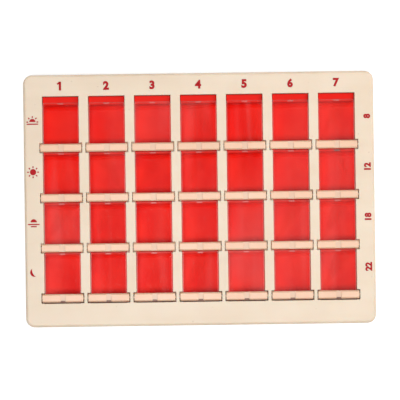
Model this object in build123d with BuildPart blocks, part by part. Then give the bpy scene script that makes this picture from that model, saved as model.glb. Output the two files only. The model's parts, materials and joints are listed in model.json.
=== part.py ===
# Weekly pill organizer: a cream case with seven day columns, a red tray of four pockets clipped
# into each column from below, and a clear flip lid on a cream hinge bar over every pocket.
# X runs along the days, Y from the night row up to the morning row, Z up. Millimetres.
import os
from math import hypot

from build123d import *

os.makedirs("parts", exist_ok=True)

day_names = ["mon", "tue", "wed", "thu", "fri", "sat", "sun"]
time_names = ["morning", "noon", "evening", "night"]

# Driving dimensions of the case
case_height = 20.0
corner_radius = 5.0
edge_round = 1.5
skirt_wall = 2.0
side_margin = 10.55
head_margin = 12.0
foot_margin = 13.15

# Driving dimensions of the grid
slot_width = 20.3
web_width = 5.3
window_length = 23.4
ledge_strip = 3.05

# Driving dimensions of the hinge bars
bar_width = 4.5
bar_chamfer = 0.7
bar_foot_chamfer = 0.8
bar_below = 1.5
axis_depth = 1.8
bar_end_gap = 0.5
bar_foot_gap = 0.7
seat_floor = 0.8
pin_radius = 0.72
pin_sides = 8
pin_clearance = 0.08
pin_web = 1.8
pin_tip_gap = 0.3
mark_width = 3.2
mark_depth = 0.35
finger_notch_width = 3.2
finger_notch_depth = 0.9
finger_notch_angle = 60

# Driving dimensions of the clear panes
pane_above = 0.8
pane_below = 0.4
pane_root = 1.0
pane_side_gap = 0.35
ridge_width = 3.2
ridge_depth = 0.9
ridge_height = 0.4
ridge_inset = 0.1

# Driving dimensions of the day trays and of the rails that hold them
floor_thickness = 1.4
wall_thickness = 1.2
scoop_radius = 3.0
ledge_thickness = 1.4
tray_lift = 0.4
tray_gap = 0.4
tray_clearance = 0.25
rest_clearance = 0.1
rail_thickness = 1.6
rib_thickness = 1.2
rib_lift = 6.0
lug_width = 8.0
lug_height = 1.0
lug_reach = 0.6
lug_lift = 4.0
lug_clearance = 0.1

# Clearance that the turning bars keep from everything around them
swing_clearance = 0.3

# Places worked out from the sizes above
day_pitch = slot_width + web_width
time_pitch = window_length + bar_width
day_x = [day_pitch * (i - (len(day_names) - 1) / 2) for i in range(len(day_names))]
slot_length = ledge_strip + len(time_names) * time_pitch + bar_foot_gap
case_length = day_x[-1] - day_x[0] + slot_width + 2 * side_margin
case_width = head_margin + slot_length + foot_margin
slot_head = case_width / 2 - head_margin
slot_middle = slot_head - slot_length / 2
row_head = slot_head - ledge_strip + bar_width / 2
axis_y = [row_head - time_pitch * (j + 1) for j in range(len(time_names))]
axis_z = case_height - axis_depth

# Space that a turning bar needs, and what follows from it
half_bar = bar_width / 2
bar_sweep = max(
    hypot(half_bar, axis_depth - bar_chamfer),
    hypot(half_bar - bar_chamfer, axis_depth),
    hypot(half_bar, bar_below - bar_foot_chamfer),
    hypot(half_bar - bar_foot_chamfer, bar_below),
)
swing_radius = bar_sweep + swing_clearance
seat_depth = axis_depth + swing_radius
plate_thickness = seat_depth + seat_floor
plate_bottom = case_height - plate_thickness
seat_reach = (web_width - pin_web) / 2
seat_width = slot_width + 2 * seat_reach
bar_length = seat_width - 2 * bar_end_gap
pin_span = seat_width + pin_web - pin_tip_gap
bore_span = day_x[-1] - day_x[0] + seat_width + pin_web
bore_radius = pin_radius + pin_clearance

# Cavity of the case, and the trays and rails in it
cavity_length = case_length - 2 * skirt_wall
cavity_width = case_width - 2 * skirt_wall
cavity_corner = corner_radius - skirt_wall
web_x = [x + day_pitch / 2 for x in day_x[:-1]]
wall_y = [y - swing_radius - wall_thickness / 2 for y in [row_head] + axis_y]
tray_width = day_pitch - tray_gap
tray_head = slot_head - tray_clearance
tray_foot = wall_y[-1] - wall_thickness / 2
tray_middle = (tray_head + tray_foot) / 2
tray_length = tray_head - tray_foot
pocket_width = tray_width - 2 * wall_thickness
pocket_floor = tray_lift + floor_thickness
rest_width = slot_width - 2 * pane_side_gap
rest_top = axis_z - pane_below - rest_clearance
ledge_foot = wall_y[0] - wall_thickness / 2
rail_head = tray_head + tray_clearance
rail_foot = tray_foot - tray_clearance

# Case: panel with seven slots, seats for the bar ends, pin bores, and a skirt round it
with BuildPart() as case:
    with BuildSketch():
        RectangleRounded(case_length, case_width, corner_radius)
    extrude(amount=case_height)
    fillet(case.edges().group_by(Axis.Z)[-1], edge_round)
    with BuildSketch():
        RectangleRounded(cavity_length, cavity_width, cavity_corner)
    extrude(amount=plate_bottom, mode=Mode.SUBTRACT)
    with BuildSketch(Plane.XY.offset(case_height - seat_depth)):
        with Locations([(x, slot_middle) for x in day_x]):
            Rectangle(slot_width, slot_length)
        with Locations([(x, y) for x in day_x for y in axis_y]):
            Rectangle(seat_width, 2 * swing_radius)
    extrude(amount=seat_depth, mode=Mode.SUBTRACT)
    # Below the seats the slots stop under the last bars, so a floor closes the foot of each slot
    with BuildSketch(Plane.XY.offset(plate_bottom)):
        with Locations([(x, slot_head) for x in day_x]):
            Rectangle(slot_width, slot_head - axis_y[-1], align=(Align.CENTER, Align.MAX))
    extrude(amount=seat_floor, mode=Mode.SUBTRACT)
    with Locations([(0, y, axis_z) for y in axis_y]):
        Cylinder(bore_radius, bore_span, rotation=(0, 90, 0), mode=Mode.SUBTRACT)
    # Rails across the head and foot of the trays, braced against the skirt by short ribs
    with BuildSketch(Plane.XY.offset(tray_lift)):
        with Locations((0, rail_head)):
            Rectangle(cavity_length, rail_thickness, align=(Align.CENTER, Align.MIN))
        with Locations((0, rail_foot)):
            Rectangle(cavity_length, rail_thickness, align=(Align.CENTER, Align.MAX))
    extrude(amount=plate_bottom - tray_lift)
    with BuildSketch(Plane.XY.offset(rib_lift)):
        with Locations([(x, rail_head) for x in web_x]):
            Rectangle(rib_thickness, cavity_width / 2 - rail_head, align=(Align.CENTER, Align.MIN))
        with Locations([(x, rail_foot) for x in web_x]):
            Rectangle(rib_thickness, cavity_width / 2 + rail_foot, align=(Align.CENTER, Align.MAX))
    extrude(amount=plate_bottom - rib_lift)
    # Windows in the rails that the lugs of the trays snap into
    with BuildSketch(Plane.XY.offset(lug_lift - lug_clearance)):
        with Locations([(x, (rail_head + rail_foot) / 2) for x in day_x]):
            Rectangle(lug_width + 2 * lug_clearance, rail_head - rail_foot + 2 * rail_thickness)
    extrude(amount=lug_height + 2 * lug_clearance, mode=Mode.SUBTRACT)
case.part.label = "case"
export_step(case.part, "parts/case.step")

# Day tray: four scooped pockets in a row, rests under the free edges of the panes, a ledge at
# the head that is hollow from below, and a snap lug at each end
with BuildPart() as tray:
    with BuildSketch(Plane.XY.offset(tray_lift)):
        with Locations((0, tray_middle)):
            Rectangle(tray_width, tray_length)
    extrude(amount=plate_bottom - tray_lift)
    with BuildSketch(Plane.XY.offset(pocket_floor)):
        for upper, lower in zip(wall_y, wall_y[1:]):
            with Locations((0, (upper + lower) / 2)):
                Rectangle(pocket_width, upper - lower - wall_thickness)
    extrude(amount=plate_bottom - pocket_floor, mode=Mode.SUBTRACT)
    floor_edges = tray.edges().filter_by(Axis.X).filter_by_position(Axis.Z, pocket_floor, pocket_floor)
    fillet(floor_edges, scoop_radius)
    with BuildSketch(Plane.XY.offset(plate_bottom)):
        with Locations([(0, y) for y in wall_y[1:-1]]):
            Rectangle(rest_width, wall_thickness)
        with Locations((0, ledge_foot)):
            Rectangle(rest_width, tray_head - ledge_foot, align=(Align.CENTER, Align.MIN))
    extrude(amount=rest_top - plate_bottom)
    with BuildSketch(Plane.XY.offset(tray_lift)):
        with Locations((0, ledge_foot + wall_thickness)):
            Rectangle(
                rest_width - 2 * wall_thickness,
                tray_head - ledge_foot - 2 * wall_thickness,
                align=(Align.CENTER, Align.MIN),
            )
    extrude(amount=rest_top - ledge_thickness - tray_lift, mode=Mode.SUBTRACT)
    with BuildSketch(Plane.XY.offset(lug_lift)):
        with Locations((0, tray_head)):
            Rectangle(lug_width, lug_reach, align=(Align.CENTER, Align.MIN))
        with Locations((0, tray_foot)):
            Rectangle(lug_width, lug_reach, align=(Align.CENTER, Align.MAX))
    extrude(amount=lug_height)

# The seven trays side by side, one to a day
day_trays = Compound(children=[tray.part.moved(Location((x, 0, 0))) for x in day_x])
day_trays.label = "day_trays"
export_step(day_trays, "parts/day_trays.step")

# Hinge bar, drawn about its own axis: chamfered, with a groove for the pane, a sunken mark across
# the middle of its top and an eight-sided pin at each end
with BuildPart() as bar:
    with BuildSketch(Plane.YZ.offset(-bar_length / 2)) as profile:
        with Locations((0, axis_depth)):
            Rectangle(bar_width, axis_depth + bar_below, align=(Align.CENTER, Align.MAX))
        chamfer(profile.vertices().group_by(Axis.Y)[-1], bar_chamfer)
        chamfer(profile.vertices().group_by(Axis.Y)[0], bar_foot_chamfer)
    extrude(amount=bar_length)
    with BuildSketch(Plane.XY.offset(-pane_below)):
        with Locations((0, half_bar - pane_root)):
            Rectangle(rest_width, 2 * pane_root, align=(Align.CENTER, Align.MIN))
    extrude(amount=pane_below + pane_above, mode=Mode.SUBTRACT)
    with BuildSketch(Plane.XY.offset(axis_depth - mark_depth)):
        Rectangle(mark_width, bar_width)
    extrude(amount=mark_depth, mode=Mode.SUBTRACT)
    with BuildSketch(Plane.YZ):
        RegularPolygon(pin_radius, pin_sides)
    extrude(amount=pin_span / 2, both=True)

# Hinge bar of the last row, the same bar with a finger notch in its lower edge
with BuildPart() as foot_bar:
    add(bar.part)
    with BuildSketch(Plane.XY.offset(-bar_below)):
        with Locations((0, -half_bar)):
            Trapezoid(
                finger_notch_width,
                finger_notch_depth,
                finger_notch_angle,
                align=(Align.CENTER, Align.MIN),
            )
    extrude(amount=bar_below + axis_depth, mode=Mode.SUBTRACT)

# Clear pane, drawn about the axis of its hinge bar, with a finger ridge by its free edge
pane_foot = half_bar - pane_root
pane_head = time_pitch - swing_radius
with BuildPart() as pane:
    with BuildSketch(Plane.XY.offset(-pane_below)):
        with Locations((0, pane_foot)):
            Rectangle(rest_width, pane_head - pane_foot, align=(Align.CENTER, Align.MIN))
    extrude(amount=pane_below + pane_above)
    with BuildSketch(Plane.XY.offset(pane_above)):
        with Locations((0, pane_head - ridge_inset)):
            Rectangle(ridge_width, ridge_depth, align=(Align.CENTER, Align.MAX))
    extrude(amount=ridge_height)

# One lid over every pocket: a bar and a pane set at each hinge axis
row_bars = [bar] * (len(time_names) - 1) + [foot_bar]
for day, x in zip(day_names, day_x):
    for time, y, row_bar in zip(time_names, axis_y, row_bars):
        place = Location((x, y, axis_z))
        hinge_bar = row_bar.part.moved(place)
        hinge_bar.label = f"hinge_bar_{day}_{time}"
        export_step(hinge_bar, f"parts/{hinge_bar.label}.step")
        lid_pane = pane.part.moved(place)
        lid_pane.label = f"lid_pane_{day}_{time}"
        export_step(lid_pane, f"parts/{lid_pane.label}.step")
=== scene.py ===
# %% [markdown]
# # A weekly pill organizer
#
# The real object is a flat cream case, about the size of a paperback, that lies on a table. Seven
# red trays are clipped into it from below, one for each day, and each tray has four pockets. Over
# every pocket lies a small clear lid on a cream hinge bar.
#
# The shapes come from the CAD model, so this lesson loads it as a fixed frame and then does what
# CAD doesn't: soft edges, the finish of each plastic, the printed marks, the light and the camera.

# %% Load the frame
import json
import math

import bmesh
import bpy
from mathutils import Matrix, Vector


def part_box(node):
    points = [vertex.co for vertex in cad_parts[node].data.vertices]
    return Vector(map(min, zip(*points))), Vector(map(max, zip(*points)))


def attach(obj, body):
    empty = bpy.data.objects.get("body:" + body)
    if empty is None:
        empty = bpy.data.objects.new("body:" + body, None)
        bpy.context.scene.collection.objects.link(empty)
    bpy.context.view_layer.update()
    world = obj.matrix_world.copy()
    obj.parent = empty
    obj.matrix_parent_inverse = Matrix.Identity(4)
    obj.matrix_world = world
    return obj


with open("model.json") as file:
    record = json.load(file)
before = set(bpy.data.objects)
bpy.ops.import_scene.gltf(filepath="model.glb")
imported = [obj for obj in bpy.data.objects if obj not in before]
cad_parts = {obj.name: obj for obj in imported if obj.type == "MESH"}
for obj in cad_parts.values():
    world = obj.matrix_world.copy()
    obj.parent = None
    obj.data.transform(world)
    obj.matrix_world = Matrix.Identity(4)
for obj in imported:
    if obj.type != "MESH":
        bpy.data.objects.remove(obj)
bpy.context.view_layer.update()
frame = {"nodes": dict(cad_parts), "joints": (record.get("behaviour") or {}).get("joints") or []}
nodes = frame["nodes"]

# %% [markdown]
# ## Places read from the frame
#
# Nothing is placed by eye. The panel's height and outline are the box of the case, and the middles
# of the columns and rows come from the hinges: each one sits at the lower edge of its window. If
# the CAD model is resized, the marks and the finish move with it.

# %% Measure the case and the grid
MM = 0.001
case_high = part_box("case")[1]
panel_top = case_high.z
half_length = case_high.x
half_width = case_high.y
hinge_points = [Vector(joint["pos_m"]) for joint in frame["joints"]]
column_x = sorted({round(point.x, 6) for point in hinge_points})
row_y = sorted({round(point.y, 6) for point in hinge_points}, reverse=True)
column_pitch = column_x[1] - column_x[0]
row_pitch = row_y[0] - row_y[1]
tray_low, tray_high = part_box("day_trays")
print("columns at", column_x, "and rows at", row_y)

# %% [markdown]
# ## Shader maths as plain expressions
#
# A finish is a graph of nodes, and a graph built call by call is hard to read. One small class
# wraps a socket instead. Its operators add Math nodes, so a mask can be written as `1 - grain * 2`,
# and its `add` method makes any other node from a type, its settings and its inputs.


# %% The socket class
class Wire:
    """One output socket of a material's node tree."""

    def __init__(self, tree, socket):
        self.tree = tree
        self.socket = socket

    def add(self, kind, settings=(), inputs=(), output=0):
        """Adds a node: its settings first, then the values or links of its inputs."""
        node = self.tree.nodes.new(kind)
        for name, value in dict(settings).items():
            setattr(node, name, value)
        for name, value in dict(inputs).items():
            if isinstance(value, Wire):
                self.tree.links.new(value.socket, node.inputs[name])
            else:
                node.inputs[name].default_value = value
        return Wire(self.tree, node.outputs[output] if node.outputs else None)

    def math(self, operation, first, second=0.0):
        return self.add("ShaderNodeMath", {"operation": operation}, {0: first, 1: second})

    def __add__(self, other):
        return self.math("ADD", self, other)

    def __sub__(self, other):
        return self.math("SUBTRACT", self, other)

    def __rsub__(self, other):
        return self.math("SUBTRACT", other, self)

    def __mul__(self, other):
        return self.math("MULTIPLY", self, other)

    def __abs__(self):
        return self.math("ABSOLUTE", self)

    __radd__ = __add__
    __rmul__ = __mul__

    def least(self, other):
        return self.math("MINIMUM", self, other)

    def most(self, other):
        return self.math("MAXIMUM", self, other)

    def step(self, low, high):
        """0 below low, 1 above high, and a smooth rise between them. Low may be the larger."""
        settings = {"interpolation_type": "SMOOTHSTEP"}
        inputs = {"Value": self, "From Min": low, "From Max": high}
        return self.add("ShaderNodeMapRange", settings, inputs)

    def mix(self, low_colour, high_colour):
        """A colour that goes from one to the other as this value goes from 0 to 1."""
        inputs = {0: self, 6: low_colour, 7: high_colour}
        return self.add("ShaderNodeMix", {"data_type": "RGBA"}, inputs, output=2)

    def turned(self, angle, stretch):
        """These coordinates turned about Z, by degrees, and stretched."""
        inputs = {"Vector": self, "Rotation": (0, 0, math.radians(angle)), "Scale": stretch}
        return self.add("ShaderNodeMapping", {}, inputs)

    def noise(self, size, detail=2.0):
        """Clouds about this size across, in metres, from 0 to 1."""
        inputs = {"Vector": self, "Scale": 1 / size, "Detail": detail}
        return self.add("ShaderNodeTexNoise", {}, inputs)

    def axes(self):
        """The X, Y and Z of these coordinates."""
        node = self.add("ShaderNodeSeparateXYZ", {}, {0: self}).socket.node
        return [Wire(self.tree, socket) for socket in node.outputs]


def start_finish(name):
    """An empty material and the Object coordinates in it, which are metres in the CAD's frame."""
    material = bpy.data.materials.new(name)
    material.use_nodes = True
    material.node_tree.nodes.clear()
    coordinates = material.node_tree.nodes.new("ShaderNodeTexCoord")
    return material, Wire(material.node_tree, coordinates.outputs["Object"])


def bump(height, depth):
    """A normal that stands up and down with this height by this depth, in metres."""
    return height.add("ShaderNodeBump", {}, {"Height": height, "Distance": depth})


def show(shader):
    """Makes this shader the surface of its material."""
    shader.add("ShaderNodeOutputMaterial", {}, {"Surface": shader})


print("Wire overloads + - * and abs")

# %% [markdown]
# ## Cream plastic
#
# The case and the bars are moulded in a warm cream plastic with a satin skin. A single colour would
# look like paper. The real skin has slow clouds where the melt cooled unevenly, faint flow lines
# along the panel, a fine grain from the mould, and a few dark specks. Handling polishes the outer
# edge and leaves it a little darker. All of it is kept weak, because the plastic is nearly new.
#
# Shade is painted into the colour where the plastic sinks: a grey in the mark across each bar,
# and a dark brown in the seats of the last row, which are closed below. The painted shade is what
# makes the finger notches there show from above.

# %% Where shade is painted on the cream
MARK_HALF = 1.6 * MM
MARK_FADE = 0.2 * MM
MARK_SINK = (0.15 * MM, 0.30 * MM)
SEAT_HALF = 3.0 * MM
SEAT_FADE = 0.2 * MM
SEAT_SINK = (0.4 * MM, 1.0 * MM)
SEAT_FLOOR = (5.1 * MM, 4.9 * MM)
SEAT_INWARD = (6.5 * MM, 7.5 * MM)


def repeated(value, pitch, middle):
    """How far a coordinate is from the nearest of a row of middles."""
    limits = {0: value, 1: middle + pitch / 2, 2: middle - pitch / 2}
    return value.add("ShaderNodeMath", {"operation": "WRAP"}, limits) - middle


def below_panel(z, sinks):
    """A rise from 0 to 1 between two depths under the panel's top."""
    return z.step(panel_top - sinks[0], panel_top - sinks[1])


def mark_dirt(x, z):
    """1 in the sunken mark across a bar, where shade is painted."""
    across = abs(repeated(x, column_pitch, column_x[0]))
    return below_panel(z, MARK_SINK) * across.step(MARK_HALF, MARK_HALF - MARK_FADE)


def seat_dirt(y, z, inward):
    """1 on the walls and floors of the seats of the last row, where shade is painted."""
    seat = abs(y - row_y[-1]).step(SEAT_HALF + SEAT_FADE, SEAT_HALF)
    deep = below_panel(z, SEAT_SINK) * below_panel(z, SEAT_FLOOR)
    return seat * deep * inward.step(*SEAT_INWARD)


print("marks on", len(hinge_points), "bars, closed seats at", round(row_y[-1] / MM, 2), "mm")

# %% Cream finish
CLOUD_SIZE = 26 * MM
FLOW_SIZE = 7 * MM
FLOW_ANGLE = 4
FLOW_STRETCH = (0.12, 1.0, 1.0)
GRAIN_SIZE = 0.35 * MM
GRAIN_DEPTH = 0.012 * MM
SPECK_SIZE = 1.6 * MM
SPECK_BROWN = (0.38, 0.25, 0.16, 1)
EDGE_BAND = (3.0 * MM, 0.3 * MM)
EDGE_PATCH = 9 * MM
FOOT_BAND = 2.5 * MM
FOOT_PATCH = 4 * MM
RUBBED_CREAM = (0.62, 0.47, 0.33, 1)
# The grey and the brown below are painted shade, for the sunken bar marks and the closed seats
MARK_SHADE_GREY = (0.45, 0.34, 0.27, 1)
SEAT_SHADE_BROWN = (0.24, 0.08, 0.035, 1)
GLOW = 0.5
GLOW_COLOUR = (1.0, 0.6, 0.4)
GLOW_REACH = 2.0 * MM


def cream_plastic(name, pale, deep, roughness, is_bar):
    """Satin moulded cream, from its paler to its deeper colour."""
    material, place = start_finish(name)
    x, y, z = place.axes()
    cloud = place.noise(CLOUD_SIZE)
    flow = place.turned(FLOW_ANGLE, FLOW_STRETCH).noise(FLOW_SIZE, detail=3.0)
    grain = place.noise(GRAIN_SIZE)
    speck = place.noise(SPECK_SIZE, detail=0.0).step(0.86, 0.89)

    # Rubbed where fingers and the table touch it: the outer edge and the foot of the skirt
    inward = (half_length - abs(x)).least(half_width - abs(y))
    rubbed = inward.step(*EDGE_BAND) * place.noise(EDGE_PATCH, detail=4.0).step(0.38, 0.62)
    foot = z.step(FOOT_BAND, 0.0) * place.noise(FOOT_PATCH, detail=5.0).step(0.42, 0.6)

    shade = cloud.step(0.25, 0.75) * 0.30 + flow.step(0.3, 0.7) * 0.25
    colour = shade.mix((*pale, 1), (*deep, 1))
    colour = (rubbed * 0.25 + foot * 0.2).least(0.6).mix(colour, RUBBED_CREAM)
    colour = (speck * 0.25).mix(colour, SPECK_BROWN)
    if is_bar:
        # Painted shade: a grey in the sunken mark across each bar
        colour = (mark_dirt(x, z) * 0.24).mix(colour, MARK_SHADE_GREY)
    else:
        # Painted shade: a dark brown on the walls and floors of the closed seats of the last row
        colour = (seat_dirt(y, z, inward) * 0.9).mix(colour, SEAT_SHADE_BROWN)
    inputs = {
        "Base Color": colour,
        "Roughness": roughness + cloud * 0.10 + grain * 0.06 - rubbed * 0.12,
        "Normal": bump(grain + flow * 0.5, GRAIN_DEPTH),
        "IOR": 1.5,
        "Subsurface Weight": GLOW,
        "Subsurface Radius": GLOW_COLOUR,
        "Subsurface Scale": GLOW_REACH,
    }
    show(place.add("ShaderNodeBsdfPrincipled", {}, inputs))
    return material


CASE_PALE, CASE_DEEP = (0.765, 0.64, 0.50), (0.70, 0.555, 0.405)
# The bars' cream is tinted pink by painted red light, reflected from the trays
BAR_PALE_RED_LIT, BAR_DEEP_RED_LIT = (0.79, 0.52, 0.35), (0.73, 0.44, 0.29)
case_cream = cream_plastic("cream_case", CASE_PALE, CASE_DEEP, 0.40, is_bar=False)
bar_cream = cream_plastic("cream_bar", BAR_PALE_RED_LIT, BAR_DEEP_RED_LIT, 0.34, is_bar=True)
print("cream finishes:", case_cream.name, bar_cream.name)

# %% [markdown]
# ## Red plastic
#
# The trays are a bright glossy red. Light bounces between the walls of a pocket and makes the red
# deeper by itself, so the colour here stays plain. What shows on the real thing is a slight
# unevenness of the gloss, hair scratches on the floors from pills and fingers, and on the underside
# the round marks of the pins that push a moulding out of its mould. The bare ledge above the first
# lids has no clear plastic over it, and painted shade darkens it to a deeper red.

# %% Red finish
SHEEN_SIZE = 14 * MM
HAIR_WIDTH = 0.5 * MM
HAIR_ANGLE = 31
HAIR_STRETCH = (0.05, 1.0, 1.0)
SCRATCH_PATCH = 11 * MM
SCRATCH_DEPTH = 0.006 * MM
SCRATCH_PALE = (0.85, 0.22, 0.18, 1)
LEDGE_BAND = (0.8 * MM, 0.4 * MM)
# The ledge's deeper red is painted shade
LEDGE_SHADE_RED = (0.70, 0.012, 0.006, 1)
EJECTOR_RADIUS = 2.2 * MM
EJECTOR_DEPTH = 0.10 * MM
EJECTOR_BAND = (0.3 * MM, 0.1 * MM)


def ejector_marks(x, y, z):
    """1 in a disc under the middle of each pocket, on the underside of the trays."""
    across = repeated(x, column_pitch, column_x[0])
    along = repeated(y, row_pitch, row_y[0] + row_pitch / 2)
    reach = x.math("SQRT", across * across + along * along)
    below = z.step(tray_low.z + EJECTOR_BAND[0], tray_low.z + EJECTOR_BAND[1])
    return reach.step(EJECTOR_RADIUS, 0.93 * EJECTOR_RADIUS) * below


def red_plastic(name, bright, deep):
    """Glossy moulded red."""
    material, place = start_finish(name)
    x, y, z = place.axes()
    cloud = place.noise(SHEEN_SIZE)
    hair = place.turned(HAIR_ANGLE, HAIR_STRETCH).noise(HAIR_WIDTH, detail=1.0).step(0.62, 0.72)
    scratch = hair * place.noise(SCRATCH_PATCH, detail=3.0).step(0.45, 0.7)
    pin_mark = ejector_marks(x, y, z)
    # Painted shade: the bare ledge at the top of the trays is darkened to a deeper red
    ledge_shade = z.step(tray_high.z - LEDGE_BAND[0], tray_high.z - LEDGE_BAND[1])

    colour = cloud.step(0.3, 0.7).mix((*bright, 1), (*deep, 1))
    colour = (scratch * 0.18).mix(colour, SCRATCH_PALE)
    colour = (ledge_shade * 0.8).mix(colour, LEDGE_SHADE_RED)
    dents = bump(pin_mark * -1.0, EJECTOR_DEPTH)
    hairs = {"Height": scratch, "Distance": SCRATCH_DEPTH, "Normal": dents}
    inputs = {
        "Base Color": colour,
        "Roughness": 0.40 + cloud * 0.08 + scratch * 0.25 + pin_mark * 0.15,
        "Normal": place.add("ShaderNodeBump", {}, hairs),
        "Specular IOR Level": 0.05,
    }
    show(place.add("ShaderNodeBsdfPrincipled", {}, inputs))
    return material


tray_red = red_plastic("red_tray", (0.97, 0.014, 0.003), (0.90, 0.006, 0.002))
print("red finish:", tray_red.name)

# %% [markdown]
# ## Clear plastic
#
# Each lid is a thin clear pane. Seen straight on it hides almost nothing: it shows by a faint veil,
# by soft streaks where the melt ran, and by what it mirrors at a slant. A mix of a transparent and
# a glossy shader says just that, and keeps the light on the pockets. Real refraction would change
# little in a pane 1.2 mm thick, and it makes the light in the pockets slow and noisy.
#
# Each veil is the share of the surface that one cause covers, and the cover is their sum.

# %% Clear finish
VEIL = 0.002
STREAK_VEIL = 0.014
HAZE_VEIL = 0.010
DUST_VEIL = 0.08
SLANT_VEIL = 0.36
RIM_VEIL = 0.22
HEAD_VEIL = 0.08
RIDGE_VEIL = 0.10
MOST_COVER = 0.9
UPRIGHT_ANGLE, UPRIGHT_STRETCH, UPRIGHT_SIZE = -9, (1.0, 0.10, 1.0), 6 * MM
SLANTED_ANGLE, SLANTED_STRETCH, SLANTED_SIZE = 38, (1.0, 0.07, 1.0), 9 * MM
HAZE_ANGLE, HAZE_STRETCH, HAZE_SIZE = -32, (1.0, 0.6, 1.0), 48 * MM
PATCH_SIZE = 34 * MM
DUST_SIZE = 0.7 * MM
STREAK_DEPTH = 0.010 * MM
RIM_WIDTH = 0.35 * MM
RIDGE_BAND = (0.3 * MM, 0.1 * MM)
PANE_PALE = (0.86, 0.82, 0.78, 1)
RIM_GREY = (0.46, 0.46, 0.45, 1)
PANE_TINT = (0.98, 0.98, 0.97, 1)
pane_low, pane_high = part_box("lid_pane_mon_morning")
pane_half = (pane_high.x - pane_low.x) / 2


def melt_streaks(place):
    """Soft streaks along the pane and across it, strong in some patches and weak in others."""
    upright = place.turned(UPRIGHT_ANGLE, UPRIGHT_STRETCH).noise(UPRIGHT_SIZE, detail=1.0)
    slanted = place.turned(SLANTED_ANGLE, SLANTED_STRETCH).noise(SLANTED_SIZE)
    patch = place.noise(PATCH_SIZE, detail=0.0).step(0.35, 0.65)
    return (upright.step(0.42, 0.78) * 0.6 + slanted.step(0.50, 0.74) * 0.7) * (0.25 + patch * 0.75)


def clear_plastic(name):
    """A clear pane that shows by its veils and reflections."""
    material, place = start_finish(name)
    x, y, z = place.axes()
    streak = melt_streaks(place)
    haze = place.turned(HAZE_ANGLE, HAZE_STRETCH).noise(HAZE_SIZE, detail=1.0).step(0.46, 0.66)
    dust = place.noise(DUST_SIZE, detail=0.0).step(0.80, 0.86)
    slant = place.add("ShaderNodeLayerWeight", {}, {"Blend": 0.25}, output=1)

    # Light gathers along the cut edges of a clear plate and in the finger ridge
    side = abs(repeated(x, column_pitch, column_x[0])).step(pane_half - RIM_WIDTH, pane_half)
    head = abs(repeated(y, row_pitch, pane_high.y)).step(RIM_WIDTH, 0.0)
    ridge = z.step(pane_high.z - RIDGE_BAND[0], pane_high.z - RIDGE_BAND[1])

    cover = VEIL + streak * STREAK_VEIL + haze * HAZE_VEIL + dust * DUST_VEIL
    cover = cover + slant * slant * SLANT_VEIL
    cover = cover + side * RIM_VEIL + head * HEAD_VEIL + ridge * RIDGE_VEIL
    inputs = {
        "Base Color": side.most(head).mix(PANE_PALE, RIM_GREY),
        "Roughness": 0.18 + streak * 0.14,
        "Normal": bump(streak, STREAK_DEPTH),
        "IOR": 1.5,
    }
    gloss = place.add("ShaderNodeBsdfPrincipled", {}, inputs)
    through = place.add("ShaderNodeBsdfTransparent", {}, {"Color": PANE_TINT})
    show(place.add("ShaderNodeMixShader", {}, {0: cover.least(MOST_COVER), 1: through, 2: gloss}))
    return material


pane_clear = clear_plastic("clear_pane")
print("clear finish:", pane_clear.name)

# %% [markdown]
# ## Finish and soft edges on the CAD nodes
#
# A CAD edge is perfectly sharp and catches no light, while a moulded edge has a small round that
# does. A Bevel modifier gives it. The CAD meshes are loose triangles, so a Weld closes them first,
# and a planar Decimate joins the triangles of each flat face, so that only real edges are rounded.

# %% Dress the nodes
WELD_REACH = 0.002 * MM
FLAT_ANGLE = 1
SHARP_ANGLE = 50
CASE_ROUND = 0.22 * MM
TRAY_ROUND = 0.20 * MM
BAR_ROUND = 0.08 * MM
PANE_ROUND = 0.12 * MM


def soft_edges(piece, width):
    """Rounds a CAD node's edges by this width, in metres, without touching its mesh."""
    weld = piece.modifiers.new("close", "WELD")
    weld.merge_threshold = WELD_REACH
    join = piece.modifiers.new("flat faces", "DECIMATE")
    join.decimate_type = "DISSOLVE"
    join.angle_limit = math.radians(FLAT_ANGLE)
    edge = piece.modifiers.new("soft edges", "BEVEL")
    edge.width = width
    edge.segments = 2
    edge.limit_method = "ANGLE"
    edge.angle_limit = math.radians(SHARP_ANGLE)
    edge.use_clamp_overlap = False


def dress(piece, finish, width):
    """Gives a CAD node its finish and its soft edges."""
    piece.data.materials.clear()
    piece.data.materials.append(finish)
    soft_edges(piece, width)


dress(nodes["case"], case_cream, CASE_ROUND)
dress(nodes["day_trays"], tray_red, TRAY_ROUND)
for name, piece in nodes.items():
    if name.startswith("hinge_bar"):
        dress(piece, bar_cream, BAR_ROUND)
    if name.startswith("lid_pane"):
        dress(piece, pane_clear, PANE_ROUND)
print("dressed", len(nodes), "nodes")

# %% [markdown]
# ## The printed marks
#
# The real panel is printed in a dark red ink: the days above the columns and the times of day
# beside the rows. Here the days are plain numbers, and each row has a small sun or moon at its left
# and an hour at its right. Pad printing lays down a film of ink that is thin but not flat, so the
# marks are real thin solids on the panel, and the ink is a little patchy.

# %% Ink finish
PATCHY_SIZE = 1.1 * MM
PATCHY_DEPTH = 0.006 * MM
PINHOLE_SIZE = 0.35 * MM


def printed_ink(name, full, thin):
    """Satin ink, paler where the film is thin."""
    material, place = start_finish(name)
    patchy = place.noise(PATCHY_SIZE, detail=3.0)
    pinhole = place.noise(PINHOLE_SIZE, detail=0.0).step(0.74, 0.80)
    thinness = (patchy.step(0.45, 0.75) * 0.5 + pinhole * 0.4).least(1.0)
    inputs = {
        "Base Color": thinness.mix((*full, 1), (*thin, 1)),
        "Roughness": 0.5 + patchy * 0.2,
        "Normal": bump(patchy, PATCHY_DEPTH),
        "Specular IOR Level": 0.12,
    }
    show(place.add("ShaderNodeBsdfPrincipled", {}, inputs))
    return material


ink = printed_ink("dark_red_ink", (0.42, 0.007, 0.012), (0.50, 0.035, 0.035))
print("ink finish:", ink.name)

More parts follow.
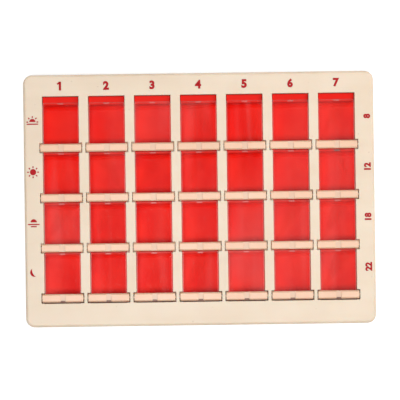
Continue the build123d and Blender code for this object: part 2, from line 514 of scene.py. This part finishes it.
# %% [markdown]
# ### From a flat drawing to ink on the panel
#
# A mark is drawn flat, in its place just under the panel's top, and raised by the thickness of the
# film, so that its foot is sunk in the plastic and no gap can show. Its seams are then merged and
# its faces turned outwards, and the piece rides on the body of the case.

# %% Helpers for the ink
INK_THICKNESS = 0.03 * MM
INK_SINK = 0.01 * MM
INK_FILM = INK_THICKNESS + INK_SINK
INK_MERGE = 0.001 * MM
ink_foot = panel_top - INK_SINK


def strip_of_ink(sheet, place, length, width):
    """A flat strip along X, set at a place."""
    size = Matrix.Diagonal((length, width, 1, 1))
    bmesh.ops.create_grid(sheet, x_segments=1, y_segments=1, size=0.5, matrix=place @ size)


def raise_ink(sheet):
    """Gives a flat drawing the thickness of the ink."""
    bmesh.ops.remove_doubles(sheet, verts=sheet.verts, dist=INK_MERGE)
    raised = bmesh.ops.extrude_face_region(sheet, geom=list(sheet.faces))
    lifted = [part for part in raised["geom"] if isinstance(part, bmesh.types.BMVert)]
    bmesh.ops.translate(sheet, verts=lifted, vec=(0, 0, INK_FILM))


def print_on_panel(name, sheet):
    """Makes a piece of ink from a raised drawing, and lets it ride on the case."""
    bmesh.ops.remove_doubles(sheet, verts=sheet.verts, dist=INK_MERGE)
    bmesh.ops.recalc_face_normals(sheet, faces=sheet.faces)
    mesh = bpy.data.meshes.new(name)
    sheet.to_mesh(mesh)
    sheet.free()
    mesh.materials.clear()
    mesh.materials.append(ink)
    piece = bpy.data.objects.new(name, mesh)
    bpy.context.scene.collection.objects.link(piece)
    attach(piece, "case_and_trays")
    print(name, "has", len(mesh.polygons), "faces")


print("ink stands", round(INK_THICKNESS / MM, 3), "mm above the panel")

# %% [markdown]
# ### Numbers
#
# Blender's text objects draw the figures, and an offset and a bevel of the outline make them bold.
# A text object can't be finished as ink, so each one is made a mesh, scaled to its cap height and
# to the film's thickness, turned, and moved to its place in the mesh itself. The pieces then sit at
# the origin, as the CAD nodes do. The flag of the figure one drowns in the bold stroke, so a short
# slanted strip draws it again.

# %% Print the numbers
DAY_CAP = 4.9 * MM
DAY_DROP = 6.3 * MM
HOUR_CAP = 3.8 * MM
HOUR_INSET = 3.9 * MM
HOUR_LIFT = 15.4 * MM
HOURS = ["8", "12", "18", "22"]
FLAG_OFFSET = Vector((-0.85, 1.55, 0)) * MM
FLAG_ANGLE = 40
FLAG_LENGTH = 1.7 * MM
FLAG_WIDTH = 0.85 * MM
BOLD = 0.020
SWELL = 0.036
CURVE_STEPS = 6
FIGURE_EXTRUDE = 0.5


def add_figure(sheet, words, cap, middle, angle):
    """Adds a raised number, as tall as cap, with its middle at a point of the panel."""
    curve = bpy.data.curves.new(words, "FONT")
    curve.body = words
    curve.offset = BOLD
    curve.bevel_depth = SWELL
    curve.bevel_resolution = 0
    curve.resolution_u = CURVE_STEPS
    curve.extrude = FIGURE_EXTRUDE
    text = bpy.data.objects.new(words, curve)
    bpy.context.scene.collection.objects.link(text)
    bpy.context.view_layer.update()
    graph = bpy.context.evaluated_depsgraph_get()
    mesh = bpy.data.meshes.new_from_object(text.evaluated_get(graph))
    bpy.data.objects.remove(text)

    low = Vector([min(v.co[axis] for v in mesh.vertices) for axis in range(3)])
    high = Vector([max(v.co[axis] for v in mesh.vertices) for axis in range(3)])
    wide = cap / (high.y - low.y)
    scale = Matrix.Diagonal((wide, wide, INK_FILM / (high.z - low.z), 1))
    turn = Matrix.Rotation(math.radians(angle), 4, "Z")
    place = Matrix.Translation((*middle, ink_foot + INK_FILM / 2))
    mesh.transform(place @ turn @ scale @ Matrix.Translation(-(low + high) / 2))
    sheet.from_mesh(mesh)
    bpy.data.meshes.remove(mesh)


day_y = half_width - DAY_DROP
days = bmesh.new()
flag_point = Vector((column_x[0], day_y, ink_foot)) + FLAG_OFFSET
flag_turn = Matrix.Rotation(math.radians(FLAG_ANGLE), 4, "Z")
strip_of_ink(days, Matrix.Translation(flag_point) @ flag_turn, FLAG_LENGTH, FLAG_WIDTH)
raise_ink(days)
for day, x in enumerate(column_x, start=1):
    add_figure(days, str(day), DAY_CAP, (x, day_y), 0)
print_on_panel("day_numbers", days)

hours = bmesh.new()
for hour, y in zip(HOURS, row_y):
    add_figure(hours, hour, HOUR_CAP, (half_length - HOUR_INSET, y + HOUR_LIFT), 90)
print_on_panel("hour_numbers", hours)

# %% [markdown]
# ### Suns and a moon
#
# Four simple signs say morning, noon, evening and night without words. A disc is a capped circle,
# a half sun is that disc cut at the horizon by a plane, and the moon is a disc whose right side is
# pushed back through its middle. Each flat face is then extruded by the thickness of the ink.

# %% Print the signs
SIGN_INSET = 5.1 * MM
SIGN_LIFT = 14.6 * MM
SUN_RADIUS = 1.75 * MM
SUN_SIDES = 40
RAY_GAP = 0.55 * MM
RAY_LENGTH = 1.0 * MM
RAY_WIDTH = 0.65 * MM
RAY_STEP = 45
HORIZON_LENGTH = 6.4 * MM
HORIZON_DROP = RAY_GAP + RAY_WIDTH
MOON_RADIUS = 2.4 * MM
MOON_SIDES = 48
MOON_BITE = -0.42
MOON_TILT = 24


def sun_disc(sheet, middle, half):
    """The disc of a sun, or only its upper half."""
    place = Matrix.Translation(middle)
    disc = bmesh.ops.create_circle(
        sheet, cap_ends=True, segments=SUN_SIDES, radius=SUN_RADIUS, matrix=place
    )
    if half:
        edges = {edge for vert in disc["verts"] for edge in vert.link_edges}
        faces = {face for vert in disc["verts"] for face in vert.link_faces}
        geometry = [*disc["verts"], *edges, *faces]
        bmesh.ops.bisect_plane(
            sheet, geom=geometry, plane_co=middle, plane_no=(0, -1, 0), clear_outer=True
        )


def sun_rays(sheet, middle, count):
    """Rays round a sun, from the right and on to the left."""
    outward = Matrix.Translation((SUN_RADIUS + RAY_GAP + RAY_LENGTH / 2, 0, 0))
    for i in range(count):
        turn = Matrix.Rotation(math.radians(RAY_STEP * i), 4, "Z")
        place = Matrix.Translation(middle) @ turn @ outward
        strip_of_ink(sheet, place, RAY_LENGTH, RAY_WIDTH)


def horizon(sheet, middle, length, drop):
    """A line under a half sun."""
    place = Matrix.Translation(middle + Vector((0, -drop, 0)))
    strip_of_ink(sheet, place, length, RAY_WIDTH)


def moon(sheet, middle):
    """A crescent that opens to the right."""
    disc = bmesh.ops.create_circle(sheet, cap_ends=True, segments=MOON_SIDES, radius=MOON_RADIUS)
    for vert in disc["verts"]:
        if vert.co.x > 0:
            vert.co.x *= MOON_BITE
    place = Matrix.Translation(middle) @ Matrix.Rotation(math.radians(MOON_TILT), 4, "Z")
    bmesh.ops.transform(sheet, matrix=place, verts=disc["verts"])


sign_x = SIGN_INSET - half_length
morning, noon, evening, night = [Vector((sign_x, y + SIGN_LIFT, ink_foot)) for y in row_y]
signs = bmesh.new()
sun_disc(signs, morning, half=True)
sun_rays(signs, morning, 5)
horizon(signs, morning, HORIZON_LENGTH, HORIZON_DROP)
sun_disc(signs, noon, half=False)
sun_rays(signs, noon, 8)
sun_disc(signs, evening, half=True)
horizon(signs, evening, HORIZON_LENGTH, HORIZON_DROP)
horizon(signs, evening, HORIZON_LENGTH / 2, 2 * HORIZON_DROP)
moon(signs, night)
raise_ink(signs)
print_on_panel("time_signs", signs)

# %% [markdown]
# ## Floor
#
# The photograph has a pure white ground. A floor lit until it is white would light the object from
# below and burn out the cream, so the floor is pale and only adds a little of its own light where
# the camera sees it, directly or in a reflection. It keeps the soft shadow.

# %% Floor
FLOOR_SIZE = 6.0
FLOOR_PAPER = (0.86, 0.86, 0.86, 1)
FLOOR_GLOW = 0.36

floor_sheet = bmesh.new()
bmesh.ops.create_grid(floor_sheet, x_segments=1, y_segments=1, size=FLOOR_SIZE / 2)
floor_mesh = bpy.data.meshes.new("floor")
floor_sheet.to_mesh(floor_mesh)
floor_sheet.free()
floor = bpy.data.objects.new("floor", floor_mesh)
bpy.context.scene.collection.objects.link(floor)


def seen_directly(wire):
    """1 for what the camera, a reflection or a clear piece sees, and 0 for light on the object."""
    rays = wire.add("ShaderNodeLightPath").socket.node.outputs
    names = ("Is Camera Ray", "Is Glossy Ray", "Is Transmission Ray")
    camera_ray, glossy_ray, clear_ray = [Wire(wire.tree, rays[name]) for name in names]
    return camera_ray.most(glossy_ray).most(clear_ray)


floor_white, floor_place = start_finish("floor_white")
paper = floor_place.add("ShaderNodeBsdfDiffuse", {}, {"Color": FLOOR_PAPER})
glow_strength = seen_directly(floor_place) * FLOOR_GLOW
glow = floor_place.add("ShaderNodeEmission", {}, {"Strength": glow_strength})
show(floor_place.add("ShaderNodeAddShader", {}, {0: paper, 1: glow}))
floor_mesh.materials.append(floor_white)
print("floor", FLOOR_SIZE, "m across")

# %% [markdown]
# ## Light
#
# A softbox hangs close to the camera's own line, so that its light falls straight down into the
# pockets. A second lamp, from the right, gives the panel its slow fall-off to the left. The sky is
# white where it is seen and dim where it only lights, which keeps the shadows soft and the pale
# plastic from burning out.

# %% World and lamps
SKY_LIGHT = 0.34
SOFTBOX_PLACE, SOFTBOX_SIZE, SOFTBOX_POWER = (-0.05, -0.11, 1.25), 0.26, 8.9
SIDE_PLACE, SIDE_SIZE, SIDE_POWER = (0.60, 0.20, 0.60), 0.5, 3.0

world = bpy.data.worlds.new("studio")
world.use_nodes = True
world.node_tree.nodes.clear()
sky_start = world.node_tree.nodes.new("ShaderNodeTexCoord")
sky_place = Wire(world.node_tree, sky_start.outputs["Object"])
sky_strength = SKY_LIGHT + seen_directly(sky_place) * (1 - SKY_LIGHT)
sky = sky_place.add("ShaderNodeBackground", {}, {"Strength": sky_strength})
sky_place.add("ShaderNodeOutputWorld", {}, {"Surface": sky})
bpy.context.scene.world = world


def soft_lamp(name, place, size, power):
    """A square area lamp that faces the middle of the object's foot."""
    light = bpy.data.lights.new(name, "AREA")
    light.shape = "SQUARE"
    light.size = size
    light.energy = power
    lamp = bpy.data.objects.new(name, light)
    lamp.location = place
    lamp.rotation_euler = (-Vector(place)).to_track_quat("-Z", "Y").to_euler()
    bpy.context.scene.collection.objects.link(lamp)


soft_lamp("softbox", SOFTBOX_PLACE, SOFTBOX_SIZE, SOFTBOX_POWER)
soft_lamp("side_lamp", SIDE_PLACE, SIDE_SIZE, SIDE_POWER)
print("two lamps and a sky of", SKY_LIGHT)

# %% [markdown]
# ## Camera
#
# The photograph looks straight down on the organizer, from far enough that the pockets hardly lean,
# and the object is turned by less than a degree in the frame. The lens is worked out from the
# distance and from how much of the table the square picture spans.

# %% Camera
CAMERA_HEIGHT = 0.90
PICTURE_SPAN = 222.5 * MM
SENSOR = 36.0
FRAME_TURN = -0.794
AIM = (0.24 * MM, -0.49 * MM)

lens = bpy.data.cameras.new("camera")
lens.sensor_width = SENSOR
lens.lens = SENSOR * CAMERA_HEIGHT / PICTURE_SPAN
camera = bpy.data.objects.new("camera", lens)
camera.location = (*AIM, panel_top + CAMERA_HEIGHT)
camera.rotation_euler = (0, 0, math.radians(FRAME_TURN))
bpy.context.scene.collection.objects.link(camera)
bpy.context.scene.camera = camera
bpy.context.scene.view_settings.view_transform = "Standard"
print("lens of", round(lens.lens, 1), "mm")
